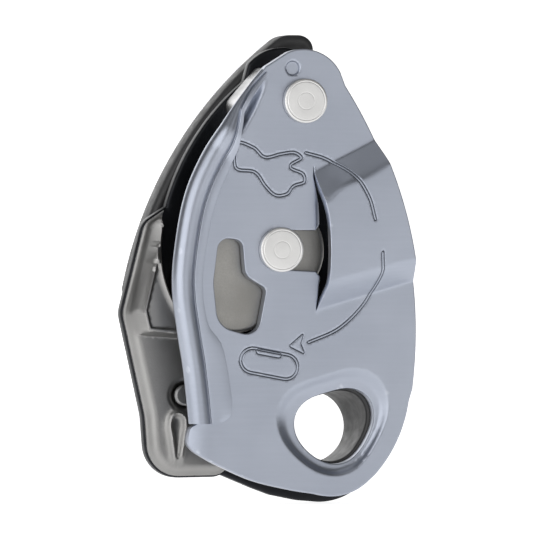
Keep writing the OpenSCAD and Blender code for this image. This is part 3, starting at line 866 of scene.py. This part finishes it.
def collar():
    """The liner of the eye: a rounded triangle at the front that runs into a round mouth at the back."""
    seat = polar_loop(COLLAR_SEAT, (0.5, 0.3)) * 0.998
    front = rounded_triangle((0.65, 0.45), 7.75, 0.55, 23, 0.48, 42)
    back = rounded_triangle((0.1, -0.2), 7.55, 0, 0, 0, 0)
    # Each row lies between two loops, at a share of the way from one to the other and at a height
    rows = [(seat, front, 0, 3.9), (seat, front, 0.25, 4.55), (seat, front, 0.55, 4.68),
            (seat, front, 0.85, 4.6), (seat, front, 0.97, 4.3), (front, back, 0, 3.7),
            (front, back, 0.12, 1.5), (front, back, 0.4, -2.5), (front, back, 0.75, -6),
            (front, back, 1, -8.4), (back, seat, 0.04, -9.4), (back, seat, 0.2, -9.95),
            (back, seat, 0.5, -10.1), (back, seat, 0.85, -10.05), (back, seat, 0.98, -9.7),
            (back, seat, 1, -2)]
    points = np.vstack([np.column_stack((a + (b - a) * t, np.full(len(a), h))) for a, b, t, h in rows])
    n, m = len(seat), len(rows)
    faces = [[i * n + k, i * n + (k + 1) % n, (i + 1) % m * n + (k + 1) % n, (i + 1) % m * n + k]
             for i in range(m) for k in range(n)]
    mesh_piece("eye_collar_ring", points, faces, "back_frame", "black_nylon", ["eye_collar"])


def friction_plate():
    cut = circle(AXLE, CAM_KEEP_OUT, 128)
    block = resample(BLOCK_LOOP, 0.4)
    boss = smooth_path([(-31.6, -6.8), (-32.1, -2.8), (-32.6, 0.6), (-31.9, 2.6), (-30.4, 2.9), (-29.2, 1.6),
                        (-29.3, -1.4), (-30.2, -6.4)])
    shape = Relief([GUIDE], [cut] + [circle(c, SMALL_HOLE_R, 32) for c in GUIDE_RIVETS],
                   step=0.6, edge=0.34, rings=(0.08, 0.25, 0.5, 0.85, 1.3, 1.9, 2.6),
                   near=[(block, (-0.2, -0.05, 0.1, 0.25, 0.4, 0.6, 0.8, 1.0, 1.3, 1.5, 1.65, 1.8, 1.95))]
                   + [(resample(np.vstack((boss, boss[::-1])), 0.3), (-0.8, -0.4, 0, 0.4, 0.8))]
                   + [(circle(c, 2.9, 48), (-0.3, 0, 0.35)) for c in GUIDE_RIVETS])
    p = shape.flat
    into = np.minimum(depth_in(p, block), np.hypot(p[:, 0] - AXLE[0], p[:, 1] - AXLE[1]) - CAM_KEEP_OUT)
    rise = ease(into / 1.1 + 0.12)
    panel = ease((into - 1.5) / 0.45)
    h = FLOOR + (BLOCK - FLOOR) * rise - 0.6 * panel
    h += 1.0 * np.exp(-(path_gap(p, boss, False) / 0.62) ** 2)
    for c in GUIDE_RIVETS:
        from_rivet = np.hypot(p[:, 0] - c[0], p[:, 1] - c[1])
        h -= 0.5 * ease((3.0 - from_rivet) / 0.35) * (from_rivet < 3.05)
    h -= 1.7 * (1 - ease(shape.edge / 1.9)) ** 1.4
    points, faces = shape.solid(h, np.full(len(p), INNER_BACK + 0.02))
    mesh_piece("friction_plate_pressing", points, faces, "back_frame", "stainless", ["friction_plate"],
               sharp=60)


def guide_rivets():
    profile = soften([(0, FLOOR + 0.78), (1.9, FLOOR + 0.72), (2.3, FLOOR + 0.3), (2.3, FLOOR - 0.55),
                      (SMALL_SHANK_R, FLOOR - 0.6), (SMALL_SHANK_R, BACK_FACE + 0.05), (0, BACK_FACE + 0.05)],
                     [0.5, 0.3, 0.1, 0, 0.2])
    points, faces = join(*[lathe(c, profile, 64) for c in GUIDE_RIVETS])
    mesh_piece("friction_plate_rivet_pair", points, faces, "back_frame", "rivet_steel",
               ["friction_plate_rivets"])


def brake_shoe():
    shape = Relief([SHOE], [circle(PIVOT, 6.15, 96)], step=0.7, edge=0.35, rings=(0.1, 0.3, 0.6, 1.0, 1.5))
    u, v = shape.flat[:, 0], shape.flat[:, 1]
    step = 0.6 * ease((71.6 - v - (u + 17.7) * 0.5) / 0.6)
    top = CAM_HALF - step - edge_drop(shape.edge, 1.0)
    under = INNER_BACK + 0.02 + edge_drop(shape.edge, 0.3)
    points, faces = shape.solid(top, under)
    mesh_piece("brake_shoe_block", points, faces, "back_frame", "stainless", ["brake_shoe"],
               finish="shoe_steel")


# A big rivet's head from its centre out, as (radius, height), and how its bends are rounded
RIVET_HEAD = [(0, 11.2), (1.65, 11.2), (1.75, 11.175), (1.85, 11.175), (1.95, 11.2), (3.95, 11.19),
              (4.05, 11.12), (4.2, 11.12), (4.3, 11.17), (4.75, 11.05), (4.78, 9.62), (4.55, 9.5),
              (SHANK_R, 9.5)]
HEAD_BENDS = [0.04, 0.04, 0.04, 0.04, 0.05, 0.05, 0.05, 0.05, 0.3, 0.1, 0.1]


def big_rivet(name, centre, tail, node, finish):
    """Turned pin with its flat, faintly ringed head at the front and a formed tail at the back."""
    profile = soften(RIVET_HEAD + [(SHANK_R, tail)], HEAD_BENDS + [0])
    tail_form = [(SHANK_R, tail), (5, tail), (5, tail - 0.5), (4.5, tail - 0.62), (0, tail - 0.6)]
    profile = np.vstack((profile, soften(tail_form, [0.1, 0.25, 0.3])))
    points, faces = lathe(centre, profile, 128)
    mesh_piece(name, points, faces, "back_frame", "rivet_steel", [node], finish=finish, sharp=60)


def cam_axle():
    tail = [(SHANK_R, -13.2), (5, -13.2), (5, -14.2), (4.3, -14.9), (1.5, -14.9), (1.0, -14.4), (0, -14.4)]
    profile = soften(RIVET_HEAD + tail, HEAD_BENDS + [0, 0, 0.2, 0.3, 0.2, 0.2, 0.2])
    points, faces = lathe(AXLE, profile, 128)
    mesh_piece("cam_axle_turned", points, faces, "back_frame", "rivet_steel", ["cam_axle"],
               finish="axle_steel", sharp=60)


# ---------------------------------------------------------------- cam

def cam_piece():
    bore = circle(AXLE, 5.0, 72)
    travel = stroke(arc(AXLE, STOP_PIN_AT, 187, 249, 24), PIN_SLOT_WIDTH)
    a = math.radians(DRIVE_PIN_ANGLE)
    pin = circle((AXLE[0] + DRIVE_PIN_AT * math.cos(a), AXLE[1] + DRIVE_PIN_AT * math.sin(a)), 1.42, 32)
    pocket = circle(AXLE, 6.9, 72)
    hollows = [resample(l, 0.4) for l in (travel, pin, pocket)]
    shape = Relief([band([AXLE, LOBE], CAM_R, 40)], [bore], step=0.9, edge=0.45,
                   rings=(0.12, 0.35, 0.65, 1.0), lines=hollows, near=[(h, (-0.04,)) for h in hollows])
    p = shape.flat
    off_bore = np.hypot(p[:, 0] - AXLE[0], p[:, 1] - AXLE[1]) > 6
    top = CAM_HALF - edge_drop(shape.edge, 0.9) * off_bore
    under = -CAM_HALF + edge_drop(shape.edge, 0.9) * off_bore
    for h in hollows:
        under[depth_in(p, h) > 0.02] = -CAM_HALF + 2.7
    # The rope's groove, as (height, depth) from the front to the back
    wall = [(4.7, 0.02), (4.1, 0.3), (3.1, 1.3), (2.1, 2.2), (1.1, 2.95), (0, 3.25), (-1.1, 2.95),
            (-2.1, 2.2), (-3.1, 1.3), (-4.1, 0.3), (-4.7, 0.02)]
    points, faces = shape.solid(top, under, wall)
    mesh_piece("cam_grooved", points, faces, "cam_body", "cam_steel", ["cam"], sharp=40)


# ---------------------------------------------------------------- handle

def lever_outline(grow=0.0):
    """Hull of the hub's disc and the lever's tip."""
    a, ra, b, rb = np.array(AXLE), 12.4 + grow, np.array((-19.5, 60.0)), 4.2 + grow
    d = b - a
    base, open_angle = heading(d), math.degrees(math.acos((ra - rb) / np.linalg.norm(d)))
    return np.vstack((arc(b, rb, base - open_angle, base + open_angle, 24),
                      arc(a, ra, base + open_angle, base + 360 - open_angle, 72)))


def grip():
    lever = resample(lever_outline(0.04), 0.5)
    hub = circle(AXLE, 13, 96)
    shape = Relief([GRIP, hub], [circle(AXLE, 7.4, 72)] + [circle(c, SMALL_HOLE_R, 32) for c in LEVER_RIVETS],
                   step=1.0, edge=0.5, rings=(0.1, 0.3, 0.6, 1.0, 1.6, 2.3, 3.1), lines=[lever],
                   near=[(lever, (-0.05,))])
    p = shape.flat
    rim = shape.edge
    from_axle = np.hypot(p[:, 0] - AXLE[0], p[:, 1] - AXLE[1])
    far_hub = from_axle > 8.2
    top = GRIP_FRONT - edge_drop(rim, 1.3) * far_hub
    top -= 0.45 * ease((rim - 1.9) / 0.6) * far_hub
    top = np.where(depth_in(p, lever) > -0.02, LEVER_BACK - 0.03, top)
    back = GRIP_BACK + edge_drop(rim, 3.2) * np.where(far_hub, 1, 0.12)
    ring = np.abs(from_axle - 10.4)
    back += 0.35 * np.clip(1 - ring / 0.6, 0, 1)
    for c in LEVER_RIVETS:
        back += 0.5 * ease((3.3 - np.hypot(p[:, 0] - c[0], p[:, 1] - c[1])) / 0.5)
    ribs = 0.32 * (0.5 + 0.5 * np.cos((p[:, 1] + p[:, 0] * 0.9) * 2.1))
    ribs *= ease((p[:, 1] - 66) / 2) * ease((rim - 1.8) / 1.2)
    back += ribs
    points, faces = shape.solid(top, back)
    mesh_piece("handle_grip_moulding", points, faces, "handle_body", "black_nylon", ["handle_grip"])


def handle_rivets():
    head = [(0, -12.4), (SMALL_SHANK_R, -12.4), (SMALL_SHANK_R, GRIP_BACK + 0.55), (2.8, GRIP_BACK + 0.45),
            (2.8, GRIP_BACK - 0.1), (2.1, GRIP_BACK - 0.7), (0, GRIP_BACK - 0.8)]
    points, faces = join(*[lathe(c, soften(head, [0.1, 0, 0.1, 0.2, 0.5]), 64) for c in LEVER_RIVETS])
    mesh_piece("handle_rivet_pair", points, faces, "handle_body", "rivet_steel", ["handle_rivets"])


def hub_cap():
    z = GRIP_BACK
    profile = [(0, z + 1.5), (7.38, z + 1.5), (7.38, z + 0.5), (6.9, z + 0.22), (5.6, z + 0.2),
               (5.3, z + 0.5), (4.9, z + 0.5), (4.6, z + 0.22), (1.8, z + 0.3), (0, z + 0.32)]
    points, faces = lathe(AXLE, soften(profile, [0.1, 0.25, 0.2, 0.12, 0.12, 0.12, 0.12, 0.3]), 96)
    mesh_piece("hub_cap_disc", points, faces, "handle_body", "black_nylon", ["hub_cap"])


def carried_nodes():
    """The turned, pressed and wound parts that keep their CAD shape, in their own metals."""
    finishes = {
        "rivet_steel": ["brake_shoe_rivets", "pivot_tail_washer", "cam_stop_pin", "axle_tail_washer",
                        "cam_drive_pin"],
        "spring_steel": ["plate_wave_washer", "cam_spring", "handle_spring"],
        "bronze": ["pivot_bush", "cam_thrust_washer", "handle_thrust_washer", "cam_bush", "handle_bush"],
        "stainless": ["handle_lever"],
    }
    for finish, names in finishes.items():
        for name in names:
            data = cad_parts[name].data
            data.materials.clear()
            data.materials.append(MATERIALS[finish])


# ---------------------------------------------------------------- studio

TARGET = Vector((-14.16, -9.4, 33.6)) * MM
CAMERA_LENS, SENSOR = 470, 36
CAMERA_YAW, CAMERA_DISTANCE = 16, 1.5
PAPER_GLOW = 0.86
WORLD_LIGHT = 0.14
# Softboxes: degrees left and up from straight ahead, distance, width, height and radiance
LIGHTS = {"key": (48, 12, 0.62, 0.8, 0.6, 1.6), "panel": (-20, 12, 0.75, 0.55, 0.5, 0.6),
          "top": (20, 74, 0.7, 0.4, 0.3, 0.5), "back": (168, 24, 0.9, 0.5, 0.6, 0.5)}


def look_at(obj, target):
    obj.rotation_euler = (Vector(target) - obj.location).to_track_quat("-Z", "Y").to_euler()


def softbox(name, left, up, distance, width, height, radiance):
    """Area light at an angle to the left of straight ahead and above the horizon."""
    light = bpy.data.lights.new(name, "AREA")
    light.shape = "RECTANGLE"
    light.size, light.size_y = width, height
    light.energy = radiance * math.pi * width * height
    obj = bpy.data.objects.new(name, light)
    bpy.context.scene.collection.objects.link(obj)
    a, e = math.radians(left), math.radians(up)
    towards = Vector((-math.sin(a) * math.cos(e), -math.cos(a) * math.cos(e), math.sin(e)))
    obj.location = TARGET + distance * towards
    look_at(obj, TARGET)


def paper_sweep():
    """The pale floor, flat round the object and bent up into a far wall."""
    floor_z = cad_box[0].z - 0.0001
    bend, wall = 2.4, 0.4
    sweep = [(-2.6, 0), (-1.2, 0), (-0.4, 0), (0.4, 0), (1.2, 0), (bend, 0)]
    sweep += [(bend + wall * math.sin(math.radians(a)), wall - wall * math.cos(math.radians(a)))
              for a in range(6, 91, 6)]
    sweep += [(bend + wall, 2.6)]
    points = [(x, y, z + floor_z) for y, z in sweep for x in (-2.4, 2.4)]
    faces = [(2 * k, 2 * k + 1, 2 * k + 3, 2 * k + 2) for k in range(len(sweep) - 1)]
    mesh = bpy.data.meshes.new("studio_sweep")
    mesh.from_pydata(points, [], faces)
    mesh.shade_smooth()
    floor = bpy.data.objects.new("studio_sweep", mesh)
    bpy.context.scene.collection.objects.link(floor)
    paper = Nodes("pale paper", 0.0)
    paper.shader.inputs["Emission Color"].default_value = (1, 1, 1, 1)
    paper.shader.inputs["Emission Strength"].default_value = PAPER_GLOW
    tone = paper.mix(paper.spread(paper.noise(30, 3), 0.3, 0.7), (0.86, 0.86, 0.865), (0.9, 0.9, 0.9))
    mesh.materials.append(paper.done(tone, paper.spread(paper.noise(300, 2), 0.3, 0.7, 0.85, 0.95)))


def lights():
    world = bpy.data.worlds.new("studio")
    bpy.context.scene.world = world
    world.use_nodes = True
    world.node_tree.nodes["Background"].inputs["Color"].default_value = (1, 1, 1, 1)
    world.node_tree.nodes["Background"].inputs["Strength"].default_value = WORLD_LIGHT

    for name, place in LIGHTS.items():
        softbox(name, *place)


def camera_view():
    camera = bpy.data.cameras.new("camera")
    camera.lens, camera.sensor_width = CAMERA_LENS, SENSOR
    obj = bpy.data.objects.new("camera", camera)
    bpy.context.scene.collection.objects.link(obj)
    yaw = math.radians(CAMERA_YAW)
    obj.location = TARGET + CAMERA_DISTANCE * Vector((-math.sin(yaw), -math.cos(yaw), 0))
    look_at(obj, TARGET)
    bpy.context.scene.camera = obj
    bpy.context.scene.view_settings.view_transform = "Standard"


moving_plate()
hem()
fixed_plate()
collar()
friction_plate()
guide_rivets()
brake_shoe()
big_rivet("upper_pivot_turned", PIVOT, -10.1, "upper_pivot_rivet", "pivot_steel")
cam_axle()
cam_piece()
grip()
handle_rivets()
hub_cap()
carried_nodes()
paper_sweep()
lights()
camera_view()
